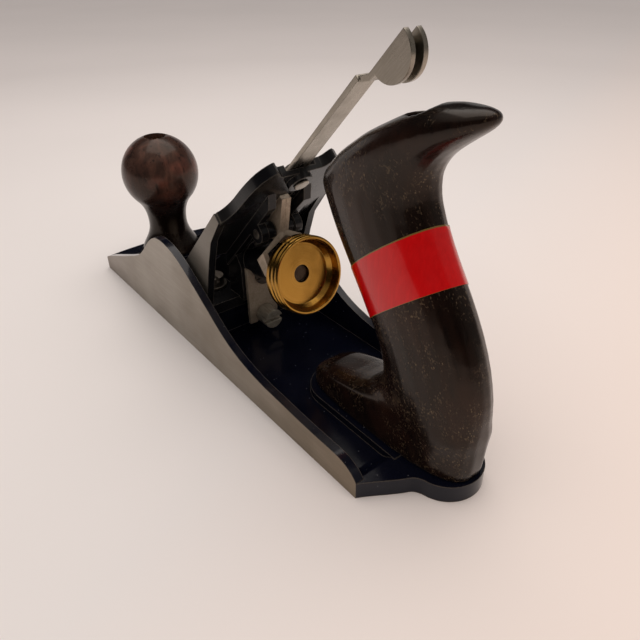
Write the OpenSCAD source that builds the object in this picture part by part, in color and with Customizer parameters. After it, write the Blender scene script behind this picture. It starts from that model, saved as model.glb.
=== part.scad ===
// Metal smoothing plane, stripped of its cutting iron: cast bed, sliding frog,
// depth and lateral adjusters, hardwood front knob and rear tote.
// Millimetres. +X points to the toe, +Y to the plane's left, Z = 0 is the sole.

/* [Bed casting] */
// Overall length of the sole, heel lobe to toe
sole_len = 245; // [225:1:265]
// Width over the side walls
sole_w = 64; // [60:0.5:70]
// Thickness of the sole plate
sole_t = 4; // [3.5:0.1:4.5]
// Thickness of each side wall
wall_t = 3.5; // [3:0.1:4]
// Height of the walls at the hump
hump_h = 47; // [44:0.5:50]
// Height of the low rail behind the hump
rail_h = 12.2; // [11:0.1:13.5]
// Height of the toe and heel lands
land_h = 7; // [6:0.1:8]
// Radius of the round heel lobe under the tote
lobe_r = 13.5; // [13:0.1:15]
// How far the heel lobe stands behind the wall ends
lobe_out = 24; // [22:0.5:26]
// How far the toe bows out in the middle
toe_bow = 3; // [2:0.5:5]
// Width of the mouth slot along the sole
mouth_w = 6; // [5:0.5:7]

/* [Frog] */
// Angle of the frog face to the sole
bed_angle = 45; // [45:1:46]
// Distance from the toe end to where the frog face would meet the sole
bed_from_toe = 58.5; // [57:0.5:61]
// Thickness of the frog face plate
plate_t = 4.5; // [4:0.1:5]
// Room between the frog and each side wall
frog_room = 2.2; // [1.7:0.1:3]
// Half width of the narrowed top of the frog
crown_half = 20; // [18:0.5:22]
// Height of the rear frog seat above the sole
seat_h = 17; // [16:0.5:17.5]
// Thickness of the frog foot
foot_t = 5; // [4.5:0.1:5.5]
// Spacing of the two frog screws across the plane
frog_screw_gap = 26; // [24:0.5:27]
// Travel of the frog each way along its seat
frog_travel = 2.5; // [1:0.1:2.7]

/* [Depth adjuster] */
// Radius of the cupped adjusting nut
nut_r = 16; // [14:0.1:16.5]
// Length of the cupped part of the nut
nut_cup_len = 7.8; // [7:0.1:9]
// Depth of the cup
nut_cup_depth = 5.8; // [5:0.1:6.5]
// Radius of the adjusting stud
stud_r = 3.5; // [3:0.1:4]
// Tilt of the stud, rising towards the rear
stud_tilt = 13; // [11:0.5:14]
// Thickness of each pressed half of the yoke
yoke_t = 2.1; // [1.8:0.1:2.3]
// Radius of the yoke pivot pin
yoke_pin_r = 2; // [1.5:0.1:2.4]

/* [Lateral lever] */
// Width of the lever strip at its pivot
lateral_w = 8.4; // [7.5:0.1:9.5]
// Width of the lever strip under the thumb piece
lateral_tip_w = 7.8; // [7:0.1:8.4]
// Thickness of the lever sheet
lateral_t = 1.8; // [1.5:0.1:2]
// Length of the strip from pivot to thumb piece
lateral_len = 54; // [48:1:58]
// Radius of the thumb piece ears
ear_r = 8.2; // [7:0.1:9]
// Width over the two ears
ear_span = 6.6; // [6:0.1:7]

/* [Knob] */
// Radius of the knob ball
knob_r = 20.1; // [18:0.1:21]
// Radius of the knob neck
knob_neck_r = 10.3; // [8.5:0.1:11]
// Radius of the knob foot
knob_foot_r = 16; // [14:0.1:17]
// Height of the knob
knob_h = 64; // [60:0.5:68]
// Distance from the toe end to the knob axis
knob_from_toe = 22.5; // [21:0.5:25]

/* [Tote] */
// Thickness of the tote across the plane
tote_w = 25.2; // [22:0.1:27]
// Height of the tote above its seat
tote_h = 117; // [110:1:119]
// Distance from the foot line of the frog face back to the tote's front
tote_from_bed = 107.9; // [106:0.1:112]
// Width of the red grip tape
tape_w = 18; // [15:0.1:22]
// Radius of the threaded rods that hold knob and tote
rod_r = 3; // [2.5:0.1:3.2]
// Radius of the round brass nuts on those rods
cap_nut_r = 5.3; // [5:0.1:6.5]

/* [Hidden] */
$fn = 48;
run = 0.06;            // running clearance of a pin in its hole
gap = 0.3;             // clearance between pieces that pass each other

// Cubic curve through four control points, n steps
function curve(a, b, c, d, n) = [for (i = [1:n]) let (t = i / n, u = 1 - t)
    u * u * u * a + 3 * u * u * t * b + 3 * u * t * t * c + t * t * t * d];
// Arc of radius r about c from angle a0 to a1, n steps
function arc(c, r, a0, a1, n) = [for (i = [0:n]) let (a = a0 + (a1 - a0) * i / n)
    c + r * [cos(a), sin(a)]];
function mirrored(pts) = [for (i = [len(pts) - 1:-1:0]) [pts[i][0], -pts[i][1]]];

// Bed plan
toe_x = sole_len / 2;
heel_x = -sole_len / 2;
half_w = sole_w / 2;
toe_corner_x = toe_x - toe_bow;
heel_corner_x = heel_x + lobe_out;
lobe_x = heel_x + lobe_r;
hump_x = toe_x - 86.5;
knob_x = toe_x - knob_from_toe;
knob_boss_h = 11;
knob_boss_r = knob_foot_r + 1.2;

// Frog face: s runs up the face from the sole, d runs behind the face
bed_x = toe_x - bed_from_toe;
plate_half = half_w - wall_t - frog_room;
mouth_back = bed_x - 2.5;
mouth_half = plate_half + 0.9;
front_pad_h = 8;
front_pad_back = mouth_back - 15;
seat_back = bed_x - 52;
seat_front = bed_x - seat_h / tan(bed_angle) - plate_t / sin(bed_angle) - frog_travel - gap;
seat_half = 21;
foot_top = seat_h + foot_t;
web_back = bed_x - 58.2;
web_half = 9;
foot_back = web_back + 3.4;
frog_screw_x = bed_x - 38;
frog_screw_r = 2.9;
frog_screw_low = sole_t + 1;
washer_r = 6.2;
washer_t = 1.2;
frog_head_t = 4;
access_r = washer_r + 1.3;

// Rear ribs and yoke pivot, in face coordinates
rib_in = 6.5;
rib_out = 10;
rib_d = 8.5;
pivot_s = 95.5;
pivot_d = 10.6;
lug_r = 4.2;
lug_inner_r = 3.4;
slot_s0 = 96;
slot_s1 = 113.2;

// Stud, measured from its root at the boss face
stud_x = bed_x - 72;
stud_z = 41.1;
stud_root = 8.2;
stud_len = 18.6;
boss_r = 7;
nut_front = 12;
collar_r = 10;
collar_t = 2.5;
groove_r = 6.5;
groove_w = 3.4;
nut_len = collar_t + groove_w + nut_cup_len;
groove_mid = nut_front + collar_t + groove_w / 2;

// Groove centre in face coordinates, so the yoke reaches it
groove_x = stud_x - groove_mid * cos(stud_tilt);
groove_z = stud_z + groove_mid * sin(stud_tilt);
function face_s(x, z) = z * sin(bed_angle) - (x - bed_x) * cos(bed_angle);
function face_d(x, z) = -z * cos(bed_angle) - (x - bed_x) * sin(bed_angle);
nub_s = face_s(groove_x, groove_z);
nub_d = face_d(groove_x, groove_z);
nub_r = groove_w / 2 - 0.35;
prong_in = collar_r + 0.5;
yoke_gap = 0.05;
yoke_rivet_s = 104.5;
yoke_rivet_d = 3.4;
yoke_rivet_r = 1.2;

// Frog adjusting screw and clip
adj_z = 12.5;
adj_r = 3;
clip_t = 2;
clip_half = 7.5;
clip_front = web_back;
clip_back = clip_front - clip_t;
clip_top = 37;
clip_low = 8.5;
clip_screw_z = 32;
clip_screw_r = 2;
clip_head_r = 3.6;
clip_head_t = 2.2;
adj_groove = clip_t + 2 * gap;
adj_thread_len = 18;
adj_collar_r = 4.4;
adj_collar_t = 2.2;
adj_head_r = 4.6;
adj_head_len = 8;

// Lever cap screw
cap_screw_s = 78;
cap_screw_r = 3;

// Lateral lever, in face coordinates
lateral_s = 124.5;
lateral_d = 0.3;
lateral_back = lateral_d + lateral_t;
roller_s = lateral_s - 8;
roller_r = 3.4;
roller_pin_r = 1.3;
roller_t = 2.4;
roller_lift = 0.15;
rivet_r = 2.2;
crown_s = 129.3;
horn_s = 133.6;
strip_end = lateral_s + lateral_len;
ear_s = strip_end + 14.1;
ear_d = 4.4;
web_d = 3.1;

// Tote: key sections from the seat up, each [height, front x, rear x, share of the
// thickness, roundness], with x from the heel. Roundness 1 is an ellipse, less is boxier.
tote_keys = [
    [0, 78, 1.5, 0.95, 0.5], [3, 78.6, 0.6, 0.95, 0.48], [7, 77, 0.3, 0.95, 0.46],
    [10.5, 70, 0.2, 0.95, 0.46], [13.5, 57.5, 0.2, 0.96, 0.5], [17, 47.5, 0.1, 0.97, 0.66],
    [22, 42.5, 0.2, 0.98, 0.86], [30, 43, 0.5, 1, 0.98], [40, 47.8, 3, 1, 1], [50, 54.5, 7.2, 1, 1],
    [60, 61.8, 13, 1, 1], [70, 68.8, 19.8, 1, 1], [78, 73.2, 24.6, 1, 1], [84, 75.8, 27.6, 1, 0.98],
    [88, 73.5, 29.2, 0.98, 0.96], [94, 67.5, 29.8, 0.96, 0.95], [99, 60.5, 27.6, 0.94, 0.95],
    [103, 54.5, 23.6, 0.9, 0.95], [107, 47, 18.2, 0.83, 0.95], [110, 41, 14, 0.73, 0.95],
    [112.5, 35, 11.6, 0.58, 0.95], [114.5, 29, 12, 0.38, 0.95], [115.5, 23.5, 14.8, 0.14, 0.95]];
tote_fit = (bed_x - tote_from_bed - heel_x) / max([for (k = tote_keys) k[1]]);
scale_h = tote_h / tote_keys[len(tote_keys) - 1][0];
tote_seat = land_h;
tote_rod_low = [heel_x + 30.5 * tote_fit, tote_seat];
tote_rod_lean = atan(0.04 * tote_fit / scale_h);
tote_cap_z = 103 * scale_h;
tote_rod_deep = 4;
pad_half = tote_w / 2 + 1.6;
pad_toe_x = heel_x + 81.5 * tote_fit - pad_half;

// Frames: the frog face, the stud, and the tote rod
module on_face() { translate([bed_x, 0, 0]) rotate([0, bed_angle - 180, 0]) children(); }
module on_stud() { translate([stud_x, 0, stud_z]) rotate([0, stud_tilt - 90, 0]) children(); }
module on_tote_rod() {
    translate([tote_rod_low[0], 0, tote_rod_low[1]]) rotate([0, tote_rod_lean, 0]) children();
}
// A flat XZ profile given thickness across the plane, from y0 to y1
module slab(y0, y1) { translate([0, y1, 0]) rotate([90, 0, 0]) linear_extrude(y1 - y0) children(); }
// A flat (s, d) profile on the frog face, from y0 to y1
module face_slab(y0, y1) { on_face() slab(y0, y1) children(); }
// Screwdriver slot across a head, cut down from z
module driver_slot(r, w, depth, z) {
    translate([-r - 1, -w / 2, z - depth]) cube([2 * r + 2, w, depth + 1]);
}

// Side wall outline: toe, long rise, hump, long fall, low rail and heel
wall_outline = concat(
    [[heel_corner_x, 0], [toe_corner_x, 0], [toe_corner_x, land_h]],
    curve([toe_corner_x, land_h], [toe_corner_x - 4, land_h + 2.6], [hump_x + 62, 15],
        [hump_x + 34, 26.5], 10),
    curve([hump_x + 34, 26.5], [hump_x + 20, 32.5], [hump_x + 14, hump_h], [hump_x, hump_h], 12),
    curve([hump_x, hump_h], [hump_x - 15, hump_h], [hump_x - 26, 37], [hump_x - 40, 28.5], 12),
    curve([hump_x - 40, 28.5], [hump_x - 52, 20], [hump_x - 62, rail_h + 2.2],
        [hump_x - 88, rail_h + 1.1], 10),
    curve([hump_x - 88, rail_h + 1.1], [hump_x - 104, rail_h + 0.2], [hump_x - 108, rail_h],
        [heel_corner_x + 12, rail_h], 6),
    curve([heel_corner_x + 12, rail_h], [heel_corner_x + 6, rail_h], [heel_corner_x + 2, 10],
        [heel_corner_x, land_h], 6));

// Sole outline seen from above: bowed toe, straight sides, round heel lobe
toe_r = (half_w * half_w + toe_bow * toe_bow) / (2 * toe_bow);
toe_half_angle = asin(half_w / toe_r);
heel_neck = [lobe_x + 0.5, lobe_r + 1.3];
heel_quarter = concat(
    curve([heel_corner_x, half_w], [heel_corner_x - 2.5, half_w - 5],
        [heel_neck[0] + 3.5, heel_neck[1] + 7], heel_neck + [1.2, 2.4], 6),
    curve(heel_neck + [1.2, 2.4], heel_neck + [0.4, 0.6], [lobe_x + 0.2, lobe_r + 0.1],
        [lobe_x - lobe_r * 0.34, lobe_r * 0.94], 5),
    arc([lobe_x, 0], lobe_r, 115, 180, 10));
sole_outline = concat(
    arc([toe_x - toe_r, 0], toe_r, -toe_half_angle, toe_half_angle, 14),
    [[heel_corner_x, half_w]], heel_quarter, mirrored(heel_quarter), [[heel_corner_x, -half_w]]);

module sole_shape(h) { linear_extrude(h) polygon(sole_outline); }

module body() color([0.16, 0.17, 0.2]) difference() {
    union() {
        sole_shape(sole_t);
        // lands at toe and heel
        intersection() {
            sole_shape(land_h);
            union() {
                translate([toe_corner_x - 7, -half_w, 0]) cube([20, sole_w, land_h]);
                // the heel land falls off in a soft curve
                slab(-half_w, half_w) polygon(concat([[heel_corner_x + 7, 0], [heel_x - 1, 0],
                    [heel_x - 1, land_h]], curve([heel_corner_x, land_h], [heel_corner_x + 2.4, land_h],
                    [heel_corner_x + 3.6, sole_t], [heel_corner_x + 7, sole_t], 6)));
            }
        }
        for (y = [-half_w, half_w - wall_t]) slab(y, y + wall_t) polygon(wall_outline);
        // raised pad that carries the tote
        translate([heel_corner_x, -pad_half, 0]) cube([pad_toe_x - heel_corner_x, 2 * pad_half, tote_seat]);
        translate([pad_toe_x, 0, 0]) cylinder(h = tote_seat, r = pad_half);
        translate([knob_x, 0, 0]) cylinder(h = knob_boss_h, r = knob_boss_r);
        // rear frog seat with a thickened middle for the adjusting screw
        translate([seat_back, -seat_half, 0]) cube([seat_front - seat_back, 2 * seat_half, seat_h]);
        // front frog pad and the bridge ahead of the mouth
        translate([front_pad_back, 1 - half_w, 0])
            cube([mouth_back - front_pad_back, sole_w - 2, front_pad_h]);
        slab(-half_w + 1, half_w - 1) polygon([[mouth_back + mouth_w, 0], [mouth_back + mouth_w + 14, 0],
            [mouth_back + mouth_w + 12, sole_t], [mouth_back + mouth_w + 5, front_pad_h],
            [mouth_back + mouth_w, front_pad_h]]);
    }
    // mouth slot through the sole
    translate([mouth_back, -mouth_half, -1]) cube([mouth_w, 2 * mouth_half, front_pad_h + 2]);
    // tapped holes: frog screws, adjusting screw, knob rod and tote rod
    for (y = [-1, 1]) translate([frog_screw_x, y * frog_screw_gap / 2, frog_screw_low])
        cylinder(h = seat_h, r = frog_screw_r);
    translate([seat_back - 1, 0, adj_z]) rotate([0, 90, 0])
        cylinder(h = adj_thread_len + frog_travel + 1, r = adj_r + run);
    translate([knob_x, 0, rod_low]) cylinder(h = knob_boss_h, r = rod_r);
    on_tote_rod() translate([0, 0, -tote_rod_deep]) cylinder(h = 20, r = rod_r);
}

// Frog face outline from (s, y): foot, straight flanks, narrowed crown with two horns
horn_half = 13;
shoulder_s = 102.5;
face_foot_s = (front_pad_h - 3) / sin(bed_angle);
crown_quarter = concat(
    [[face_foot_s, plate_half - 1], [shoulder_s, plate_half - 1]],
    curve([shoulder_s, plate_half - 1], [shoulder_s + 1, crown_half + 3.6],
        [shoulder_s + 3.5, crown_half + 2], [shoulder_s + 9, crown_half + 1], 6),
    curve([shoulder_s + 9, crown_half + 1], [crown_s - 3, crown_half], [crown_s + 1.5, crown_half - 2.5],
        [horn_s, horn_half], 7),
    curve([horn_s, horn_half], [horn_s + 0.3, horn_half - 1.2], [crown_s + 0.6, horn_half - 2],
        [crown_s, horn_half - 4], 4));
face_outline = concat(crown_quarter, mirrored(crown_quarter));

// Side cheek of the frog in (x, z), widening from the shoulder down to the foot
function on_face_x(z) = bed_x - z / tan(bed_angle);
cheek_top = 72;
cheek_outline = [
    [on_face_x(front_pad_h - 2) + 1, front_pad_h - 2], [on_face_x(cheek_top) + 1, cheek_top + 1],
    [on_face_x(cheek_top) - 3, cheek_top - 3],
    [bed_x - 66.5, 58], [bed_x - 62.8, 48], [bed_x - 59.2, 36], [foot_back, foot_top], [foot_back, seat_h],
    [seat_front + frog_travel + 1, seat_h], [mouth_back - 14, front_pad_h - 2]];
cheek_t = 3.4;

// Round-ended slot that lets the frog travel over its screws
module travel_slot(z, h, r) {
    for (x = [-1, 1]) translate([x * frog_travel, 0, z]) cylinder(h = h, r = r);
    translate([-frog_travel, -r, z]) cube([2 * frog_travel, 2 * r, h]);
}

module frog() color([0.08, 0.08, 0.1]) difference() {
    union() {
        on_face() translate([0, 0, -1]) linear_extrude(plate_t + 1) polygon(face_outline);
        for (m = [0, 1]) mirror([0, m, 0]) {
            slab(plate_half - cheek_t, plate_half) polygon(cheek_outline);
            // rear rib with the lug of the yoke pin
            face_slab(rib_in, rib_out)
                polygon([[40, plate_t - 1], [118, plate_t - 1], [112, rib_d], [50, rib_d]]);
            face_slab(rib_in, rib_out) {
                translate([pivot_s, pivot_d]) circle(r = lug_r);
                translate([pivot_s - lug_r, rib_d - 1]) square([2 * lug_r, pivot_d - rib_d + 1]);
            }
            face_slab(yoke_t + 0.5, rib_in + 1) translate([pivot_s, pivot_d]) circle(r = lug_inner_r);
        }
        // foot, standing on the rear seat
        translate([foot_back, -plate_half, seat_h])
            cube([on_face_x(foot_top) - foot_back - 2, 2 * plate_half, foot_t]);
        // middle web and stud boss
        slab(-web_half, web_half) polygon([[web_back, foot_top - 1], [web_back, clip_top + 1],
            [bed_x - 54, 44], [on_face_x(44) - 2, 44], [on_face_x(foot_top) - 2, foot_top - 1]]);
        on_stud() translate([0, 0, -26]) cylinder(h = 26, r = boss_r);
        // bosses for the lever cap screw and the lateral rivet
        on_face() translate([cap_screw_s, 0, 1]) cylinder(h = 8, r = 6);
        on_face() translate([lateral_s, 0, 1]) cylinder(h = plate_t + 1.2, r = 5);
    }
    // screw slots in the foot, and access windows above them through the face
    for (y = [-1, 1]) translate([frog_screw_x, y * frog_screw_gap / 2, 0]) {
        travel_slot(seat_h - 1, foot_t + 2, frog_screw_r + 0.5);
        travel_slot(foot_top, 40, access_r);
    }
    // yoke slot, yoke pin hole, stud thread, cap screw thread and rivet hole
    on_face() translate([slot_s0, -yoke_t - 0.9, -1])
        cube([slot_s1 - slot_s0, 2 * yoke_t + 1.8, plate_t + 2]);
    face_slab(-rib_out - 1, rib_out + 1) translate([pivot_s, pivot_d]) circle(r = yoke_pin_r);
    on_stud() translate([0, 0, -stud_root]) cylinder(h = stud_root + 1, r = stud_r);
    on_face() translate([cap_screw_s, 0, -1]) cylinder(h = 12, r = cap_screw_r + run);
    on_face() translate([lateral_s, 0, -1]) cylinder(h = plate_t + 5, r = rivet_r);
    translate([web_back - 1, 0, clip_screw_z]) rotate([0, 90, 0]) cylinder(h = 12, r = clip_screw_r);
    // recess in the face where the lateral lever swings
    on_face() translate([lateral_s, 0, -1]) linear_extrude(lateral_back + 1 + gap) polygon(concat(
        arc([roller_s - lateral_s, 0], 6, 120, 240, 8),
        [[0, -lateral_w / 2 - 1.6], [20, -lateral_w / 2 - 4.5],
        [20, lateral_w / 2 + 4.5], [0, lateral_w / 2 + 1.6]]));
    // machined underside, face, and a relief under the boss for the clip
    translate([0, -half_w, -1]) cube([toe_x, sole_w, front_pad_h + 1]);
    on_face() translate([-1, -half_w, -20]) cube([160, sole_w, 20]);
    translate([clip_back - 3.2, -clip_half - 0.5, seat_h])
        cube([clip_front - clip_back + 3.2, 2 * clip_half + 1, clip_top + gap - seat_h]);
}

module frog_screws() color([0.5, 0.5, 0.48])
    for (y = [-1, 1]) translate([frog_screw_x, y * frog_screw_gap / 2, 0]) difference() {
        union() {
            translate([0, 0, frog_screw_low + 1])
                cylinder(h = foot_top + washer_t - frog_screw_low - 1, r = frog_screw_r);
            translate([0, 0, foot_top + washer_t]) cylinder(h = frog_head_t, r = washer_r - 1.4);
        }
        driver_slot(washer_r, 1.2, 1.8, foot_top + washer_t + frog_head_t);
    }

module frog_screw_washers() color([0.55, 0.55, 0.53])
    for (y = [-1, 1]) translate([frog_screw_x, y * frog_screw_gap / 2, foot_top]) difference() {
        cylinder(h = washer_t, r = washer_r);
        translate([0, 0, -1]) cylinder(h = washer_t + 2, r = frog_screw_r);
    }

// Slotted screw with a grooved collar: it pushes and pulls the frog through the clip
module frog_adjusting_screw() color([0.6, 0.57, 0.5])
    translate([clip_back - gap, 0, adj_z]) rotate([0, 90, 0]) difference() {
        union() {
            translate([0, 0, -adj_head_len]) cylinder(h = adj_head_len, r = adj_head_r);
            cylinder(h = adj_groove + adj_collar_t + adj_thread_len, r = adj_r);
            translate([0, 0, adj_groove]) cylinder(h = adj_collar_t, r = adj_collar_r);
        }
        translate([-1, -adj_head_r - 1, -adj_head_len - 1]) cube([2, 2 * adj_head_r + 2, 3.2]);
    }

module frog_clip() color([0.62, 0.58, 0.5]) difference() {
    translate([clip_back, -clip_half, clip_low]) cube([clip_t, 2 * clip_half, clip_top - clip_low]);
    translate([clip_back - 1, -adj_r - gap, clip_low - 1])
        cube([clip_t + 2, 2 * adj_r + 2 * gap, adj_z - clip_low + 1]);
    translate([clip_back - 1, 0, adj_z]) rotate([0, 90, 0]) cylinder(h = clip_t + 2, r = adj_r + gap);
    translate([clip_back - 1, 0, clip_screw_z]) rotate([0, 90, 0])
        cylinder(h = clip_t + 2, r = clip_screw_r);
}

module frog_clip_screw() color([0.6, 0.57, 0.5])
    translate([clip_back, 0, clip_screw_z]) rotate([0, 90, 0]) difference() {
        union() {
            translate([0, 0, -clip_head_t]) cylinder(h = clip_head_t, r = clip_head_r);
            cylinder(h = clip_t + 9, r = clip_screw_r);
        }
        translate([-0.5, -clip_head_r - 1, -clip_head_t - 1]) cube([1, 2 * clip_head_r + 2, 2]);
    }

module lever_cap_screw() color([0.6, 0.6, 0.58]) on_face() translate([cap_screw_s, 0, 0]) difference() {
    union() {
        translate([0, 0, -9.5]) cylinder(h = 3.5, r = 6);
        translate([0, 0, -6]) cylinder(h = 16, r = cap_screw_r);
    }
    translate([-0.6, -8, -11]) cube([1.2, 16, 3.2]);
}

module adjusting_stud() color([0.5, 0.48, 0.45]) on_stud() translate([0, 0, -stud_root])
    cylinder(h = stud_root + stud_len, r = stud_r);

// Brass nut: front collar, groove for the yoke, and the large cup with two ring grooves
ring_w = 1.2;
ring_d = 0.7;
// V groove turned in the rim, its middle at height z
function ring(z) = [[nut_r, z - ring_w / 2], [nut_r - ring_d, z - 0.2], [nut_r - ring_d, z + 0.2],
    [nut_r, z + ring_w / 2]];
module adjusting_nut() color([0.8, 0.62, 0.25])
    on_stud() translate([0, 0, nut_front]) rotate_extrude($fn = 96) polygon(concat(
        [[stud_r + run, 0], [collar_r, 0], [collar_r, collar_t], [groove_r, collar_t],
        [groove_r, collar_t + groove_w], [nut_r - 0.6, collar_t + groove_w],
        [nut_r, collar_t + groove_w + 0.6]],
        ring(nut_len - 4.6), ring(nut_len - 2),
        [[nut_r, nut_len - 0.5], [nut_r - 0.5, nut_len], [nut_r - 1.3, nut_len],
        [nut_r - 1.7, nut_len - 0.8], [nut_r - 1.9, nut_len - nut_cup_depth + 2],
        [nut_r - 3.4, nut_len - nut_cup_depth], [stud_r + run, nut_len - nut_cup_depth]]));

// One pressed half of the yoke: upper finger, pivot eye, and a prong that bends out
// around the nut and ends in a nub in its groove
module yoke_half() {
    face_slab(yoke_gap, yoke_t + yoke_gap) difference() {
        union() {
            translate([pivot_s, pivot_d]) circle(r = 4.6);
            polygon([[pivot_s - 3, pivot_d + 4.4], [pivot_s + 2.6, pivot_d + 4.2], [111.6, 5.7],
                [110.8, 3.6], [107.6, 1], [107, -4.2], [106, -5], [102.6, -5], [101.6, -4.2], [101, 3],
                [pivot_s - 3, pivot_d - 3]]);
        }
        translate([pivot_s, pivot_d]) circle(r = yoke_pin_r + run);
        translate([yoke_rivet_s, yoke_rivet_d]) circle(r = yoke_rivet_r);
    }
    intersection() {
        on_face() translate([60, 0, 0]) rotate([0, 90, 0]) linear_extrude(60) polygon([
            [-pivot_d - 3.4, yoke_gap], [-pivot_d - 3.4, yoke_t + yoke_gap],
            [-pivot_d - 9, prong_in + yoke_t], [-nub_d - nub_r, prong_in + yoke_t],
            [-nub_d - nub_r, prong_in],
            [-pivot_d - 9.6, prong_in], [-pivot_d - 5, yoke_gap]]);
        face_slab(0, prong_in + yoke_t + 1) {
            polygon([[pivot_s - 4, pivot_d + 2], [pivot_s + 4, pivot_d + 2], [nub_s + 2.6, nub_d - 4],
                [nub_s + nub_r, nub_d], [nub_s - nub_r, nub_d], [nub_s - 2.6, nub_d - 4]]);
            translate([nub_s, nub_d]) circle(r = nub_r);
        }
    }
    face_slab(groove_r + 0.5, prong_in + yoke_t) translate([nub_s, nub_d]) circle(r = nub_r);
}

module yoke_left() color([0.66, 0.61, 0.52]) yoke_half();
module yoke_right() color([0.62, 0.57, 0.5]) mirror([0, 1, 0]) yoke_half();
module yoke_rivet() color([0.6, 0.56, 0.5])
    face_slab(-yoke_t - 0.5, yoke_t + 0.5) translate([yoke_rivet_s, yoke_rivet_d]) circle(r = yoke_rivet_r);
module yoke_pin() color([0.5, 0.5, 0.48])
    face_slab(-rib_out - 0.4, rib_out + 0.4) translate([pivot_s, pivot_d]) circle(r = yoke_pin_r);

// Sheet steel strip, cranked back at its end and folded into two round ears
module lateral_lever() color([0.75, 0.74, 0.7]) on_face() difference() {
    union() {
        translate([0, 0, lateral_d]) linear_extrude(lateral_t) polygon(concat(
            arc([roller_s, 0], 3.6, 110, 250, 8),
            [[lateral_s, -lateral_w / 2], [strip_end, -lateral_tip_w / 2],
            [strip_end, lateral_tip_w / 2], [lateral_s, lateral_w / 2]]));
        slab(-ear_span / 2, ear_span / 2) polygon([[strip_end - 1, lateral_d], [strip_end + 4, web_d],
            [ear_s + 4, web_d], [ear_s + 4, web_d + lateral_t], [strip_end + 3, web_d + lateral_t],
            [strip_end - 1, lateral_back]]);
        for (m = [0, 1]) mirror([0, m, 0]) slab(ear_span / 2 - lateral_t, ear_span / 2) intersection() {
            translate([ear_s, ear_d]) circle(r = ear_r, $fn = 96);
            translate([ear_s - 20, web_d]) square([40, 40]);
        }
    }
    translate([lateral_s, 0, -1]) cylinder(h = 6, r = rivet_r + run);
    translate([roller_s, 0, -1]) cylinder(h = 6, r = roller_pin_r);
}

module lateral_rivet() color([0.7, 0.7, 0.66]) on_face() translate([lateral_s, 0, 0]) {
    translate([0, 0, -0.9]) cylinder(h = 0.9 + lateral_d - 0.05, r = 3.8);
    translate([0, 0, -0.5]) cylinder(h = plate_t + 3, r = rivet_r);
    translate([0, 0, plate_t + 2.2]) cylinder(h = 0.8, r = 3);
}

module lateral_roller() color([0.6, 0.6, 0.58])
    on_face() translate([roller_s, 0, -roller_lift - roller_t]) difference() {
        cylinder(h = roller_t, r = roller_r);
        translate([0, 0, -1]) cylinder(h = roller_t + 2, r = roller_pin_r + run);
    }

module roller_pin() color([0.55, 0.55, 0.52])
    on_face() translate([roller_s, 0, -roller_lift - roller_t - 0.4])
        cylinder(h = roller_lift + roller_t + 0.4 + lateral_back, r = roller_pin_r);

// Turned knob: flared foot, waist, ball, and a counterbore for its nut
knob_z = knob_boss_h;
rod_low = 2;
cap_deep = 7.4;
cap_nut_h = 4.4;
ball_z = knob_h - knob_r;
ball_low = 40;
knob_profile = concat(
    [[rod_r + gap, 0], [knob_foot_r - 0.8, 0], [knob_foot_r, 0.8]],
    curve([knob_foot_r, 0.8], [knob_foot_r - 0.4, 5], [knob_neck_r, 8.5], [knob_neck_r, 16.5], 10),
    curve([knob_neck_r, 16.5], [knob_neck_r, 22],
        [knob_r * cos(ball_low) - 4, ball_z - knob_r * sin(ball_low) - 4],
        [knob_r * cos(ball_low), ball_z - knob_r * sin(ball_low)], 8),
    arc([0, ball_z], knob_r, -ball_low + 4, 70, 24),
    [[cap_nut_r + gap, ball_z + knob_r * sin(70) + 0.4], [cap_nut_r + gap, knob_h - cap_deep],
    [rod_r + gap, knob_h - cap_deep]]);

module knob() color([0.3, 0.16, 0.1])
    translate([knob_x, 0, knob_z]) rotate_extrude($fn = 96) polygon(knob_profile);

module knob_rod() color([0.55, 0.55, 0.52])
    translate([knob_x, 0, rod_low]) cylinder(h = knob_z + knob_h - cap_deep + 2 - rod_low, r = rod_r);

// Round slotted brass nut with its underside at z = 0, bored for the rod
module cap_nut(h) difference() {
    cylinder(h = h, r = cap_nut_r);
    translate([0, 0, -1]) cylinder(h = h - 1, r = rod_r);
    driver_slot(cap_nut_r, 1.6, 1.6, h);
}

module knob_nut() color([0.78, 0.62, 0.3])
    translate([knob_x, 0, knob_z + knob_h - cap_deep]) cap_nut(cap_nut_h);

// Tote: level slices that follow the key sections, grown by g
slice_n = 24;
// the back of the foot is rounder than its toe
back_round = 0.7;
function tote_ring(k, g) = let (front = heel_x + k[1] * tote_fit + g, rear = heel_x + k[2] * tote_fit - g,
        half = tote_w / 2 * k[3] + g, mid = (front + rear) / 2, reach = (front - rear) / 2)
    [for (i = [0:slice_n - 1])
        let (a = 360 * (i + 0.5) / slice_n, c = cos(a), s = sin(a), e = c > 0 ? k[4] : max(k[4], back_round))
        [mid + reach * sign(c) * pow(abs(c), e), half * sign(s) * pow(abs(s), e),
            tote_seat + k[0] * scale_h]];
// Smooth blend of the key points: q counts steps between keys
function blend(a, b, c, d, t) = 0.5 * (2 * b + (c - a) * t + (2 * a - 5 * b + 4 * c - d) * t * t
    + (3 * b - a - 3 * c + d) * t * t * t);
function key(i) = tote_keys[max(0, min(len(tote_keys) - 1, i))];
tote_slices = concat([for (i = [0:len(tote_keys) - 2], q = [0:1])
    blend(key(i - 1), key(i), key(i + 1), key(i + 2), q / 2)], [key(len(tote_keys) - 1)]);

module tote_form(g) {
    n = len(tote_slices);
    pts = [for (k = tote_slices) each tote_ring(k, g)];
    polyhedron(points = pts, faces = concat(
        [[for (i = [0:slice_n - 1]) i]],
        [for (j = [0:n - 2], i = [0:slice_n - 1])
            let (a = j * slice_n + i, b = j * slice_n + (i + 1) % slice_n)
            [a, a + slice_n, b + slice_n, b]],
        [[for (i = [slice_n - 1:-1:0]) (n - 1) * slice_n + i]]), convexity = 6);
}

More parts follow.
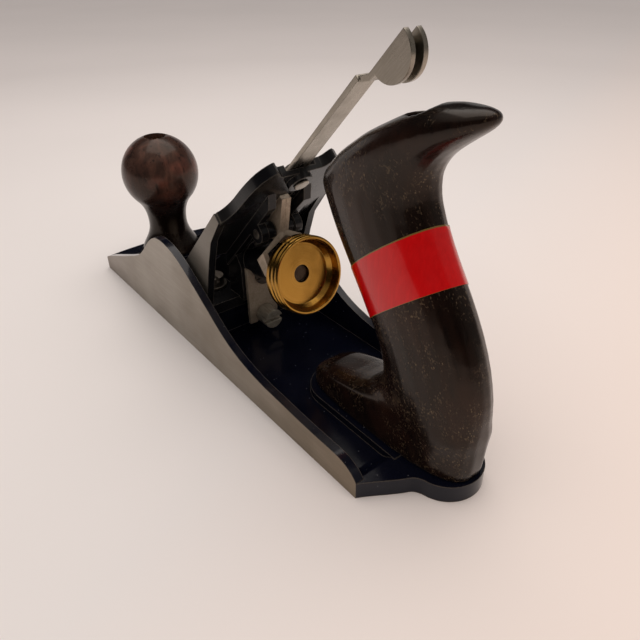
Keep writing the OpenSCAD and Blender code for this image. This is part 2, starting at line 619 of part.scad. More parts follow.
module tote() color([0.22, 0.13, 0.1]) difference() {
    tote_form(0);
    on_tote_rod() translate([0, 0, -10]) cylinder(h = 140, r = rod_r + gap);
    on_tote_rod() translate([0, 0, tote_cap_z]) cylinder(h = 40, r = cap_nut_r + gap);
}

// Band of glossy tape wound round the grip, a little askew
tape_low = [heel_x + 38.5 * tote_fit, tote_seat + 48.3 * scale_h];
tape_lean = atan(0.815 * scale_h / tote_fit);
tape_skew = 7.6;
module tape_slab() translate([tape_low[0], 0, tape_low[1]]) rotate([0, tape_lean, 0])
    rotate([tape_skew, 0, 0]) translate([-80, -half_w, 0]) cube([130, sole_w, tape_w]);
module tote_tape() color([0.8, 0.05, 0.05]) difference() {
    intersection() { tote_form(0.3); tape_slab(); }
    tote_form(0.02);
}

module tote_rod() color([0.55, 0.55, 0.52])
    on_tote_rod() translate([0, 0, -tote_rod_deep]) cylinder(h = tote_cap_z + tote_rod_deep + 2, r = rod_r);
module tote_nut() color([0.78, 0.62, 0.3]) on_tote_rod() translate([0, 0, tote_cap_z]) cap_nut(cap_nut_h);

body();
frog();
frog_screws();
frog_screw_washers();
frog_adjusting_screw();
frog_clip();
frog_clip_screw();
lever_cap_screw();
adjusting_stud();
adjusting_nut();
yoke_left();
yoke_right();
yoke_rivet();
yoke_pin();
lateral_lever();
lateral_rivet();
lateral_roller();
roller_pin();
knob();
knob_rod();
knob_nut();
tote();
tote_tape();
tote_rod();
tote_nut();
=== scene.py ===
"""Looks of a smoothing plane without its iron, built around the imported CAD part.

Metres. +X points to the toe, +Y to the plane's left, Z = 0 is the sole.
"""
import math

import bpy
from mathutils import Matrix, Vector


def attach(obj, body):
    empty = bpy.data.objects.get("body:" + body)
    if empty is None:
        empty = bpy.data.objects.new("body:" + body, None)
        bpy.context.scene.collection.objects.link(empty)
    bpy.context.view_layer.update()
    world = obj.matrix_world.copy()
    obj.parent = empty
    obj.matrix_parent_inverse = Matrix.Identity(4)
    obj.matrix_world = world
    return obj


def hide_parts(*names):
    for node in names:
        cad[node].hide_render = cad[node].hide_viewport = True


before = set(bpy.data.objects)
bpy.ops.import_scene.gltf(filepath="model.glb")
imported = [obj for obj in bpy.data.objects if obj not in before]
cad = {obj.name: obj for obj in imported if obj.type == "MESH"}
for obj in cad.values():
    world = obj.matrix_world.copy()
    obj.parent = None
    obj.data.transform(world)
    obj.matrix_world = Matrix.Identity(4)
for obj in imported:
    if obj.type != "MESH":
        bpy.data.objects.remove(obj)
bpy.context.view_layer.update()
MM = 0.001

# Studio
# The plane stands on a pale, warm white paper sweep under plain soft light. The
# camera looks down over the heel from the plane's left, as in the photograph.
PHOTO_PIXELS = 640
FOCAL_PIXELS = 593.48
SENSOR = 36
TURNED = (-37.603, 32.527, -0.874)
EYE = Vector((-199.8, 123.9, 158.5)) * MM
camera_data = bpy.data.cameras.new("camera")
camera = bpy.data.objects.new("camera", camera_data)
bpy.context.scene.collection.objects.link(camera)
bpy.context.scene.camera = camera
camera_data.sensor_width = SENSOR
camera_data.lens = SENSOR * FOCAL_PIXELS / PHOTO_PIXELS
camera_data.clip_start, camera_data.clip_end = 0.01, 20
yaw, pitch, roll = (math.radians(a) for a in TURNED)
ahead = Vector((math.cos(yaw) * math.cos(pitch), math.sin(yaw) * math.cos(pitch), -math.sin(pitch)))
level = Vector((math.sin(yaw), -math.cos(yaw), 0))
upright = level.cross(ahead)
side = level * math.cos(roll) + upright * math.sin(roll)
top = upright * math.cos(roll) - level * math.sin(roll)
camera.matrix_world = Matrix.Translation(EYE) @ Matrix(
    (side, top, -ahead)).transposed().to_4x4()


def place(tree, kind, props=None, feed=None):
    """Adds a shader node; feed gives each socket a value or another node's output."""
    made = tree.nodes.new("ShaderNode" + kind)
    for name, value in (props or {}).items():
        setattr(made, name, value)
    for socket, value in (feed or {}).items():
        if isinstance(value, bpy.types.NodeSocket):
            tree.links.new(value, made.inputs[socket])
        else:
            made.inputs[socket].default_value = value
    return made


def span(tree, value, low, high, to_low=0.0, to_high=1.0):
    """Carries a value from low..high over to to_low..to_high, and stops at both ends."""
    return place(tree, "MapRange", feed={0: value, 1: low, 2: high, 3: to_low, 4: to_high}).outputs[0]


def cloud(tree, vector, scale, detail):
    """Soft noise between 0 and 1."""
    return place(tree, "TexNoise", feed={"Vector": vector, "Scale": scale, "Detail": detail}).outputs["Fac"]


def ramp(tree, factor, stops):
    """Colour ramp from (position, colour) stops, and its colour output."""
    made = place(tree, "ValToRGB", feed={"Fac": factor})
    points = made.color_ramp.elements
    while len(points) < len(stops):
        points.new(1.0)
    for point, (position, colour) in zip(points, stops):
        point.position = position
        point.color = (*colour, 1) if len(colour) == 3 else colour
    return made.outputs["Color"]


def mix(tree, factor, a, b, blend="MIX"):
    """Mixes two colours, and gives the colour output."""
    made = place(tree, "Mix", {"data_type": "RGBA", "blend_type": blend}, {0: factor, 6: a, 7: b})
    return made.outputs[2]


def toward(tree, direction, goal):
    """How far a direction points to the goal."""
    return place(tree, "VectorMath", {"operation": "DOT_PRODUCT"}, {0: direction, 1: goal}).outputs["Value"]


def finish_of(name, fixed):
    """New material with a Principled shader; fixed holds the values set on its own sockets."""
    material = bpy.data.materials.new(name)
    material.use_nodes = True
    tree = material.node_tree
    tree.nodes.clear()
    shader = place(tree, "BsdfPrincipled", feed=fixed)
    place(tree, "OutputMaterial", feed={"Surface": shader.outputs[0]})
    where = place(tree, "TexCoord").outputs["Object"]
    return material, tree, shader.inputs, where


bpy.ops.object.select_all(action="DESELECT")
bpy.ops.mesh.primitive_plane_add(size=8, location=(0, 0, 0))
paper = bpy.context.object
paper.name = "paper_floor"
paper_finish, tree, shader, where = finish_of("paper", {"Roughness": 0.85, "Specular IOR Level": 0.25})
fibres = cloud(tree, where, 3.0, 3.0)
sheet = ramp(tree, fibres, [(0.3, (0.81, 0.765, 0.74)), (0.7, (0.85, 0.80, 0.775))])
# painted shade: the paper is painted darker further from the middle of the sheet, where the plane stands,
# as a painted fall-off of the light
far_off = place(tree, "VectorMath", {"operation": "LENGTH"}, {0: where}).outputs["Value"]
painted_falloff = span(tree, far_off, 0.15, 0.8, 0.0, 0.46)
# painted light: the paper is painted warmer beside the heel, as warm light falling there
PAINTED_WARM_LIGHT_SIDE = (-0.925, -0.38, 0)
painted_warm_light = span(tree, toward(tree, where, PAINTED_WARM_LIGHT_SIDE), 0.03, 0.16)
sheet = mix(tree, painted_warm_light, sheet, (0.92, 0.80, 0.735, 1))
tree.links.new(mix(tree, painted_falloff, sheet, (0.44, 0.40, 0.39, 1)), shader["Base Color"])
paper.data.materials.append(paper_finish)

bpy.context.scene.view_settings.view_transform = "Standard"
world = bpy.data.worlds.new("studio")
bpy.context.scene.world = world
world.use_nodes = True
tree = world.node_tree
tree.nodes.clear()
# glossy paint mirrors a dim room below a pale ceiling; everything else sees one soft glow
BLACK, WHITE = (0, 0, 0), (1, 1, 1)
WINDOW_SIDE = (-0.75, -0.66, 0)
FAR_WALL_SIDE = (0.79, -0.61, 0)
direction = place(tree, "TexCoord").outputs["Generated"]
height = place(tree, "SeparateXYZ", feed={0: direction}).outputs["Z"]
ceiling = ramp(tree, height, [(0.63, BLACK), (0.75, WHITE)])
window = ramp(tree, toward(tree, direction, WINDOW_SIDE), [(0.62, BLACK), (0.74, WHITE)])
far_wall = ramp(tree, toward(tree, direction, FAR_WALL_SIDE), [(0.55, BLACK), (0.70, WHITE)])
low = ramp(tree, height, [(0.20, WHITE), (0.30, BLACK)])
room = mix(tree, window, (0.012, 0.012, 0.013, 1), (0.17, 0.16, 0.15, 1))
room = mix(tree, mix(tree, 1.0, far_wall, low, "MULTIPLY"), room, (0.46, 0.43, 0.41, 1))
room = mix(tree, ceiling, room, (0.38, 0.35, 0.32, 1))
rays = place(tree, "LightPath").outputs
glow = mix(tree, rays["Is Glossy Ray"], (0.66, 0.62, 0.60, 1), room)
glow = mix(tree, rays["Is Camera Ray"], glow, (0.50, 0.46, 0.445, 1))
backdrop = place(tree, "Background", feed={"Color": glow, "Strength": 1.0})
place(tree, "OutputWorld", feed={"Surface": backdrop.outputs[0]})


def soft_box(name, place_at, aim, size, power, tint):
    """Square area light at place_at, turned to aim."""
    lamp = bpy.data.lights.new(name, "AREA")
    lamp.shape = "RECTANGLE"
    lamp.size, lamp.size_y = size
    lamp.energy = power
    lamp.color = tint
    held = bpy.data.objects.new(name, lamp)
    bpy.context.scene.collection.objects.link(held)
    held.location = place_at
    held.rotation_mode = "QUATERNION"
    held.rotation_quaternion = (Vector(aim) - Vector(place_at)).to_track_quat("-Z", "Y")


soft_box("overhead_light", (0.15, -0.2, 1.1), (0, 0, 0), (1.1, 1.1), 5.6, (1, 0.945, 0.90))

# Bed
# One grey-iron casting. Its sole and the outer faces of its walls are ground bare,
# and everything inside is coated with glossy blue-black enamel, worn along the rims.


def maths(tree, operation, a, b=0.0, clamp=False):
    """One Math node, and its output."""
    return place(tree, "Math", {"operation": operation, "use_clamp": clamp}, {0: a, 1: b}).outputs[0]


def vectors(tree, operation, a, b):
    """One Vector Math node, and its vector output."""
    return place(tree, "VectorMath", {"operation": operation}, {0: a, 1: b}).outputs[0]


def effect(name, takes, gives):
    """New shader group: takes lists (label, kind, value), gives lists (label, kind)."""
    group = bpy.data.node_groups.new(name, "ShaderNodeTree")
    for label, kind, value in takes:
        socket = group.interface.new_socket(name=label, in_out="INPUT", socket_type="NodeSocket" + kind)
        if value is not None:
            socket.default_value = value
    for label, kind in gives:
        group.interface.new_socket(name=label, in_out="OUTPUT", socket_type="NodeSocket" + kind)
    taken = group.nodes.new("NodeGroupInput").outputs
    given = group.nodes.new("NodeGroupOutput").inputs
    return group, taken, given


# fine lines left by grinding, plating and handling: Stretch says which way they run
scratches, taken, given = effect(
    "scratches",
    [("Vector", "Vector", None), ("Stretch", "Vector", (60, 900, 900)), ("Detail", "Float", 4)],
    [("Value", "Float")])
drawn = vectors(scratches, "MULTIPLY", taken["Vector"], taken["Stretch"])
lines = place(scratches, "TexNoise", feed={
    "Vector": drawn, "Scale": 1.0, "Detail": taken["Detail"], "Roughness": 0.65})
scratches.links.new(lines.outputs["Fac"], given["Value"])

# wear along outer edges: where the rounded normal leaves the face's own one
edge_wear, taken, given = effect(
    "edge_wear", [("Vector", "Vector", None), ("Width", "Float", 0.0006), ("Gain", "Float", 8.0)],
    [("Mask", "Float")])
rounded = place(edge_wear, "Bevel", {"samples": 6}, {"Radius": taken["Width"]})
own = place(edge_wear, "NewGeometry")
same = toward(edge_wear, rounded.outputs[0], own.outputs["Normal"])
turned_away = maths(edge_wear, "MULTIPLY", maths(edge_wear, "SUBTRACT", 1.0, same), taken["Gain"])
broken = cloud(edge_wear, taken["Vector"], 420.0, 4.0)
patchy = span(edge_wear, broken, 0.35, 0.55, 0.35, 1.0)
edge_wear.links.new(maths(edge_wear, "MULTIPLY", turned_away, patchy, True), given["Mask"])

# pale dust specks: Share is the part of the cells that hold one
specks, taken, given = effect(
    "specks", [("Vector", "Vector", None), ("Scale", "Float", 700.0), ("Share", "Float", 0.2),
               ("Size", "Float", 0.25)], [("Mask", "Float")])
cells = place(specks, "TexVoronoi", feed={"Vector": taken["Vector"], "Scale": taken["Scale"]})
chosen = place(specks, "SeparateColor", feed={0: cells.outputs["Color"]}).outputs[0]
held_one = maths(specks, "LESS_THAN", chosen, taken["Share"])
near_point = maths(specks, "LESS_THAN", cells.outputs["Distance"], taken["Size"])
specks.links.new(maths(specks, "MULTIPLY", held_one, near_point), given["Mask"])


def use(tree, group, feed):
    """Places a shader group in a material, and gives its first output."""
    return place(tree, "Group", {"node_tree": group}, feed).outputs[0]


def relief(tree, height, depth, strength=1.0):
    """Bump from a height, and its normal output."""
    return place(tree, "Bump", feed={"Height": height, "Distance": depth, "Strength": strength}).outputs[0]


def facing(tree, across, direction, low, high):
    """1 where the object's own normal points along direction, 0 where it doesn't."""
    return span(tree, toward(tree, across, direction), low, high)


EDGES_WORN = 0.4
COAT = 0.16
GROUND_ROUGHNESS = 0.42
# along X: where the painted shade starts, where it is full, and the colour that multiplies the iron
PAINTED_END_SHADE = ((0.03, -0.09, (0.74, 0.67, 0.57, 1)), (0.07, 0.12, (0.72, 0.68, 0.68, 1)))


def iron_finish(name, bare_of, enamel=(0.002, 0.0026, 0.0075), gloss=0.15):
    """Enamelled casting whose ground faces are bare; bare_of builds their mask."""
    material, tree, shader, where = finish_of(name, {"Specular IOR Level": 0.26, "Coat Roughness": 0.08})
    xyz = place(tree, "SeparateXYZ", feed={0: where}).outputs
    across = place(tree, "TexCoord").outputs["Normal"]
    worn = maths(tree, "MULTIPLY", use(tree, edge_wear, {"Vector": where}), EDGES_WORN)
    bare = maths(tree, "MAXIMUM", bare_of(tree, where, xyz, across), worn, True)
    ground = use(tree, scratches, {"Vector": where, "Stretch": (50, 1300, 1300)})
    stain = cloud(tree, where, 45.0, 5.0)
    metal = ramp(tree, ground, [(0.25, (0.31, 0.278, 0.238)), (0.55, (0.35, 0.315, 0.270)),
                                (0.8, (0.395, 0.357, 0.312))])
    stained = ramp(tree, stain, [(0.45, BLACK), (0.75, (0.35, 0.35, 0.35))])
    metal = mix(tree, stained, metal, (0.22, 0.19, 0.15, 1))
    # painted shade: the ground iron is painted darker and browner towards the heel and the toe
    for start, stop, brown in PAINTED_END_SHADE:
        reach = span(tree, xyz["X"], start, stop)
        metal = mix(tree, reach, metal, brown, "MULTIPLY")
    dust = use(tree, specks, {"Vector": where, "Scale": 900.0, "Share": 0.03, "Size": 0.2})
    coat = mix(tree, ramp(tree, stain, [(0.35, BLACK), (0.8, WHITE)]), (*enamel, 1),
               (enamel[0] * 2.2, enamel[1] * 2.0, enamel[2] * 1.6, 1))
    coat = mix(tree, maths(tree, "MULTIPLY", dust, 0.35), coat, (0.22, 0.22, 0.22, 1))
    tree.links.new(mix(tree, bare, coat, metal), shader["Base Color"])
    tree.links.new(bare, shader["Metallic"])
    shine = span(tree, bare, 0.0, 1.0, gloss, GROUND_ROUGHNESS)
    smear = span(tree, stain, 0.3, 0.8, -0.04, 0.14)
    tree.links.new(maths(tree, "ADD", shine, smear), shader["Roughness"])
    tree.links.new(maths(tree, "SUBTRACT", COAT, bare, True), shader["Coat Weight"])
    cast = cloud(tree, where, 260.0, 3.0)
    lumps = cloud(tree, where, 60.0, 2.0)
    rough_cast = maths(tree, "MULTIPLY", maths(tree, "ADD", cast, maths(tree, "MULTIPLY", lumps, 3.0)),
                       maths(tree, "SUBTRACT", 1.0, bare, True))
    lined = maths(tree, "MULTIPLY", ground, maths(tree, "MULTIPLY", bare, 0.35))
    tree.links.new(relief(tree, maths(tree, "ADD", rough_cast, lined), 0.00006, 0.6), shader["Normal"])
    return material


WALL_OUTER_FACE = 0.03185
RIM_INNER_EDGE = 0.0284
RIM_LOWEST = 0.0065
SOLE_TOP = 0.00015
SIDEWAYS = 0.7


def bed_bare(tree, where, xyz, across):
    """Outer wall faces and sole fully bare, tops of the walls partly."""
    off_middle = maths(tree, "ABSOLUTE", xyz["Y"])
    outside = maths(tree, "GREATER_THAN", off_middle, WALL_OUTER_FACE)
    sideways = maths(tree, "ABSOLUTE", place(tree, "SeparateXYZ", feed={0: across}).outputs["Y"])
    flank = maths(tree, "MULTIPLY", outside, maths(tree, "GREATER_THAN", sideways, SIDEWAYS))
    sole = maths(tree, "LESS_THAN", xyz["Z"], SOLE_TOP)
    on_rim = maths(tree, "MULTIPLY", maths(tree, "GREATER_THAN", off_middle, RIM_INNER_EDGE),
                   facing(tree, across, (0, 0, 1), 0.15, 0.5))
    on_rim = maths(tree, "MULTIPLY", on_rim, maths(tree, "GREATER_THAN", xyz["Z"], RIM_LOWEST))
    rubbed = cloud(tree, where, 55.0, 3.0)
    rubbed = span(tree, rubbed, 0.40, 0.65, 0.0, 0.05)
    ground = maths(tree, "MAXIMUM", flank, sole)
    return maths(tree, "MAXIMUM", ground, maths(tree, "MULTIPLY", on_rim, rubbed))


MERGED_WITHIN = 0.000005
NEARLY_FLAT = math.radians(0.8)
FLAT_FACES_FIRST = 90


def opened_copy(source, name):
    """Copies a CAD node's mesh to a new piece, merges its doubled points and stays in edit mode."""
    piece = bpy.data.objects.new(name, cad[source].data.copy())
    bpy.context.scene.collection.objects.link(piece)
    bpy.ops.object.select_all(action="DESELECT")
    piece.select_set(True)
    bpy.context.view_layer.objects.active = piece
    bpy.ops.object.mode_set(mode="EDIT")
    bpy.ops.mesh.select_all(action="SELECT")
    bpy.ops.mesh.remove_doubles(threshold=MERGED_WITHIN)
    return piece


def softened(source, name, body, finish, round_off, corner=35, steps=2):
    """Stands for a CAD node: its shape with rounded edges and its real finish.

    Edges that turn by more than corner degrees are rounded, round_off metres wide, in steps.
    """
    piece = opened_copy(source, name)
    bpy.ops.mesh.dissolve_limited(angle_limit=NEARLY_FLAT, delimit={"NORMAL"})
    bpy.ops.object.mode_set(mode="OBJECT")
    if round_off:
        edge = piece.modifiers.new("edge", "BEVEL")
        edge.limit_method = "ANGLE"
        edge.angle_limit = math.radians(corner)
        edge.width = round_off
        edge.segments = steps
        edge.use_clamp_overlap = True
        bpy.ops.object.modifier_apply(modifier="edge")
    bpy.ops.object.shade_smooth_by_angle(angle=math.radians(corner))
    # the wide flat faces stay flat in the light, and only the rounded edges turn
    flat = piece.modifiers.new("flat_faces", "WEIGHTED_NORMAL")
    flat.keep_sharp = True
    flat.weight = FLAT_FACES_FIRST
    bpy.ops.object.modifier_apply(modifier="flat_faces")
    piece.data.materials.clear()
    piece.data.materials.append(finish)
    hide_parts(source)
    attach(piece, body)


bed_finish = iron_finish("bed_enamel_and_ground_iron", bed_bare)
softened("body", "bed_casting", "bed", bed_finish, round_off=0.0004)

# Frog
# Grey-iron casting that slides on the bed and carries the adjusters. Black enamel
# behind, with the flanks and the bedding face machined bare.


FLANK_FACE = 0.0252
BEDDING_ANGLE = math.radians(45)
BEDDING_NORMAL = (0.70711, 0, 0.70711)


def frog_bare(tree, where, xyz, across):
    """Flanks and bedding face."""
    off_middle = maths(tree, "ABSOLUTE", xyz["Y"])
    sideways = maths(tree, "ABSOLUTE", place(tree, "SeparateXYZ", feed={0: across}).outputs["Y"])
    flank = maths(tree, "MULTIPLY", maths(tree, "GREATER_THAN", off_middle, FLANK_FACE),
                  maths(tree, "GREATER_THAN", sideways, SIDEWAYS))
    bedding = facing(tree, across, BEDDING_NORMAL, 0.97, 0.995)
    return maths(tree, "MAXIMUM", maths(tree, "MULTIPLY", flank, 0.55), bedding)


frog_finish = iron_finish("frog_enamel_and_machined_iron", frog_bare,
                          enamel=(0.004, 0.004, 0.005), gloss=0.22)
softened("frog", "frog_casting", "frog_assembly", frog_finish, round_off=0.0005)

# Frog screws and clip
# Turned steel screws and washers browned by age, the lever cap screw among them, a paler
# slotted feed screw, and the pressed clip of tan sheet steel that couples it to the frog.


def metal_finish(name, dark, mid, bright, roughness, along_face=0.0, grime=0.3, tint=(0.08, 0.06, 0.045),
                 metallic=1.0):
    """Bare or plated metal with cloudy grime, rubbed edges, and fine lines laid along_face."""
    material, tree, shader, where = finish_of(name, {"Metallic": metallic})
    laid = place(tree, "Mapping", feed={"Vector": where, "Rotation": (0, -along_face, 0)}).outputs[0]
    drawn = use(tree, scratches, {"Vector": laid, "Stretch": (160, 2400, 2400), "Detail": 2.0})
    base = ramp(tree, drawn, [(0.25, dark), (0.5, mid), (0.78, bright)])
    clouds = place(tree, "TexNoise", feed={
        "Vector": where, "Scale": 150.0, "Detail": 6.0, "Roughness": 0.65})
    dirty = span(tree, clouds.outputs["Fac"], 0.48, 0.72, 0.0, grime)
    rubbed = use(tree, edge_wear, {"Vector": where, "Width": 0.0003, "Gain": 3.0})
    base = mix(tree, dirty, base, (*tint, 1))
    base = mix(tree, maths(tree, "MULTIPLY", rubbed, 0.6), base, (*bright, 1))
    tree.links.new(base, shader["Base Color"])
    shine = span(tree, clouds.outputs["Fac"], 0.3, 0.75, roughness - 0.05, roughness + 0.18)
    tree.links.new(shine, shader["Roughness"])
    tree.links.new(relief(tree, drawn, 0.000005, 0.2), shader["Normal"])
    return material


steel = metal_finish("aged_steel", (0.10, 0.085, 0.07), (0.16, 0.14, 0.12), (0.30, 0.27, 0.23),
                     roughness=0.34)
softened("frog_screws", "frog_screws_worn", "bed", steel, round_off=0.0007, steps=4)
softened("frog_screw_washers", "frog_washers_worn", "bed", steel, round_off=0.0002)
softened("frog_clip_screw", "clip_screw_domed", "frog_assembly", steel, round_off=0.0008,
         steps=4)
pale_steel = metal_finish("pale_steel", (0.24, 0.21, 0.165), (0.34, 0.30, 0.24), (0.52, 0.47, 0.39),
                          roughness=0.30, metallic=0.6)
softened("frog_adjusting_screw", "frog_feed_screw_slotted", "frog_feed_screw", pale_steel,
         round_off=0.0006, steps=3)
softened("lever_cap_screw", "lever_cap_screw_headed", "cap_screw", steel, round_off=0.0005,
         steps=3)
tan_sheet = metal_finish("tan_sheet_steel", (0.30, 0.235, 0.17), (0.42, 0.335, 0.25), (0.54, 0.44, 0.33),
                         roughness=0.38, along_face=BEDDING_ANGLE, grime=0.4, tint=(0.12, 0.085, 0.055),
                         metallic=0.45)
softened("frog_clip", "frog_clip_pressed", "frog_assembly", tan_sheet, round_off=0.0004)

# Depth adjuster
# Two pressed yoke halves, riveted together, straddle the frog and reach into the
# groove of a cupped brass nut that runs on a threaded steel stud.
softened("yoke_left", "yoke_left_pressed", "yoke", tan_sheet, round_off=0.00035)
softened("yoke_right", "yoke_right_pressed", "yoke", tan_sheet, round_off=0.00035)
softened("yoke_rivet", "yoke_rivet_set", "yoke", tan_sheet, round_off=0.0002)
softened("yoke_pin", "yoke_pin_driven", "frog_assembly", steel, round_off=0.0003)


JOINED_WITHIN = 0.00001
THREAD_SIDES = 28
THREAD_CORNER = math.radians(25)


def threaded(source, name, body, finish, root, along, start, end, radius, pitch=0.0011):
    """Stands for a plain CAD shaft: the same shaft with its cut thread, from start to end along it."""
    deep = pitch * 0.55
    bpy.ops.object.select_all(action="DESELECT")
    bpy.ops.mesh.primitive_plane_add(size=0.001, location=(0, 0, 0))
    shaft = bpy.context.object
    shaft.name = name
    bpy.ops.object.mode_set(mode="EDIT")
    bpy.ops.mesh.select_all(action="SELECT")
    bpy.ops.mesh.merge(type="CENTER")
    bpy.ops.transform.translate(value=(radius - deep, 0, start - pitch))
    for out, up in ((deep * 0.92, pitch * 0.42), (0, pitch * 0.16), (-deep * 0.92, pitch * 0.42)):
        bpy.ops.mesh.extrude_region_move(TRANSFORM_OT_translate={"value": (out, 0, up)})
    bpy.ops.object.mode_set(mode="OBJECT")
    helix = shaft.modifiers.new("helix", "SCREW")
    helix.screw_offset = pitch
    helix.iterations = math.ceil((end - start) / pitch) + 2
    helix.steps = helix.render_steps = THREAD_SIDES
    helix.use_merge_vertices = True
    helix.merge_threshold = JOINED_WITHIN
    bpy.ops.object.modifier_apply(modifier="helix")
    bpy.ops.object.mode_set(mode="EDIT")
    bpy.ops.mesh.select_all(action="SELECT")
    bpy.ops.mesh.remove_doubles(threshold=JOINED_WITHIN)
    for cut, way in ((start, -1), (end, 1)):
        bpy.ops.mesh.select_all(action="SELECT")
        bpy.ops.mesh.bisect(plane_co=(0, 0, cut), plane_no=(0, 0, way), clear_outer=True, use_fill=True)
    bpy.ops.mesh.select_all(action="SELECT")
    bpy.ops.mesh.normals_make_consistent(inside=False)
    bpy.ops.object.mode_set(mode="OBJECT")
    shaft.matrix_world = Matrix.Translation(root) @ along.to_track_quat("Z", "Y").to_matrix().to_4x4()
    bpy.ops.object.transform_apply(location=True, rotation=True, scale=True)
    bpy.ops.object.shade_smooth_by_angle(angle=THREAD_CORNER)
    shaft.data.materials.append(finish)
    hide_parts(source)
    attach(shaft, body)


browned = metal_finish("browned_steel", (0.045, 0.032, 0.024), (0.08, 0.058, 0.042), (0.15, 0.11, 0.08),
                       roughness=0.42)
STUD_ROOT = Vector((-8.0, 0, 41.1)) * MM
STUD_AXIS = Vector((-0.97437, 0, 0.224951))
threaded("adjusting_stud", "adjusting_stud_threaded", "frog_assembly", browned,
         STUD_ROOT, STUD_AXIS, start=-8.2 * MM, end=18.6 * MM, radius=3.5 * MM)

brass, tree, shader, where = finish_of("polished_brass", {"Metallic": 1.0})
# fine turned rings: the pattern knows only the distance along the stud and from it
from_root = vectors(tree, "SUBTRACT", where, STUD_ROOT)
along = toward(tree, from_root, STUD_AXIS)
outward = vectors(tree, "CROSS_PRODUCT", from_root, STUD_AXIS)
outward = place(tree, "VectorMath", {"operation": "LENGTH"}, {0: outward}).outputs["Value"]
turned = place(tree, "CombineXYZ", feed={"X": along, "Y": outward}).outputs[0]
drawn = use(tree, scratches, {"Vector": turned, "Stretch": (3200, 3200, 1), "Detail": 3.0})
tarnish = cloud(tree, where, 70.0, 5.0)
warm = ramp(tree, drawn, [(0.3, (0.38, 0.195, 0.035)), (0.55, (0.47, 0.255, 0.052)),
                          (0.8, (0.58, 0.34, 0.085))])
dulled = span(tree, tarnish, 0.48, 0.72, 0.0, 0.6)
warm = mix(tree, dulled, warm, (0.20, 0.095, 0.018, 1))
# rubbed wear and painted highlight: the brass is painted paler and more golden along its edges
rubbed = use(tree, edge_wear, {"Vector": where, "Width": 0.0005, "Gain": 4.0})
warm = mix(tree, maths(tree, "MULTIPLY", rubbed, 0.8), warm, (0.88, 0.66, 0.30, 1))
tree.links.new(warm, shader["Base Color"])
tree.links.new(span(tree, tarnish, 0.3, 0.8, 0.15, 0.30),
               shader["Roughness"])
tree.links.new(relief(tree, drawn, 0.000015, 0.3), shader["Normal"])
softened("adjusting_nut", "adjusting_nut_turned", "nut", brass, round_off=0.00025, corner=30)

# Lateral lever
# Nickel-plated steel strip folded into a thumb piece, riveted to the frog, with a
# small roller on its foot that works in the slot of the iron.
nickel = metal_finish("nickel_plate", (0.32, 0.285, 0.235), (0.35, 0.315, 0.265), (0.42, 0.38, 0.32),
                      roughness=0.24, along_face=BEDDING_ANGLE, grime=0.10, tint=(0.24, 0.21, 0.17))
softened("lateral_lever", "lateral_lever_plated", "lateral", nickel, round_off=0.00035)
softened("lateral_rivet", "lateral_rivet_set", "frog_assembly", nickel, round_off=0.0003)
softened("roller_pin", "roller_pin_set", "lateral", nickel, round_off=0.0002)
softened("lateral_roller", "lateral_roller_turned", "roller", nickel, round_off=0.0002)

# Knob
# Turned from dense dark hardwood and varnished nearly black, held on the bed by a
# threaded rod and a round slotted brass nut sunk in its top.

# long wood grain, with Stretch small along the fibres: Value is its figure, Pores its dark lines
grain, taken, given = effect(
    "grain", [("Vector", "Vector", None), ("Stretch", "Vector", (90, 90, 9))],
    [("Value", "Float"), ("Pores", "Float")])
fibre = vectors(grain, "MULTIPLY", taken["Vector"], taken["Stretch"])
warp = cloud(grain, fibre, 0.6, 3.0)
bands = place(grain, "TexNoise", feed={"Vector": fibre, "Scale": 2.2, "Detail": 5.0, "Roughness": 0.6,
                                       "Distortion": 0.8}).outputs["Fac"]
figure = maths(grain, "ADD", maths(grain, "MULTIPLY", warp, 0.45), maths(grain, "MULTIPLY", bands, 0.55))
grain.links.new(figure, given["Value"])
short = vectors(grain, "MULTIPLY", fibre, (6, 6, 9))
pits = cloud(grain, short, 1.0, 2.0)
grain.links.new(span(grain, pits, 0.62, 0.70), given["Pores"])


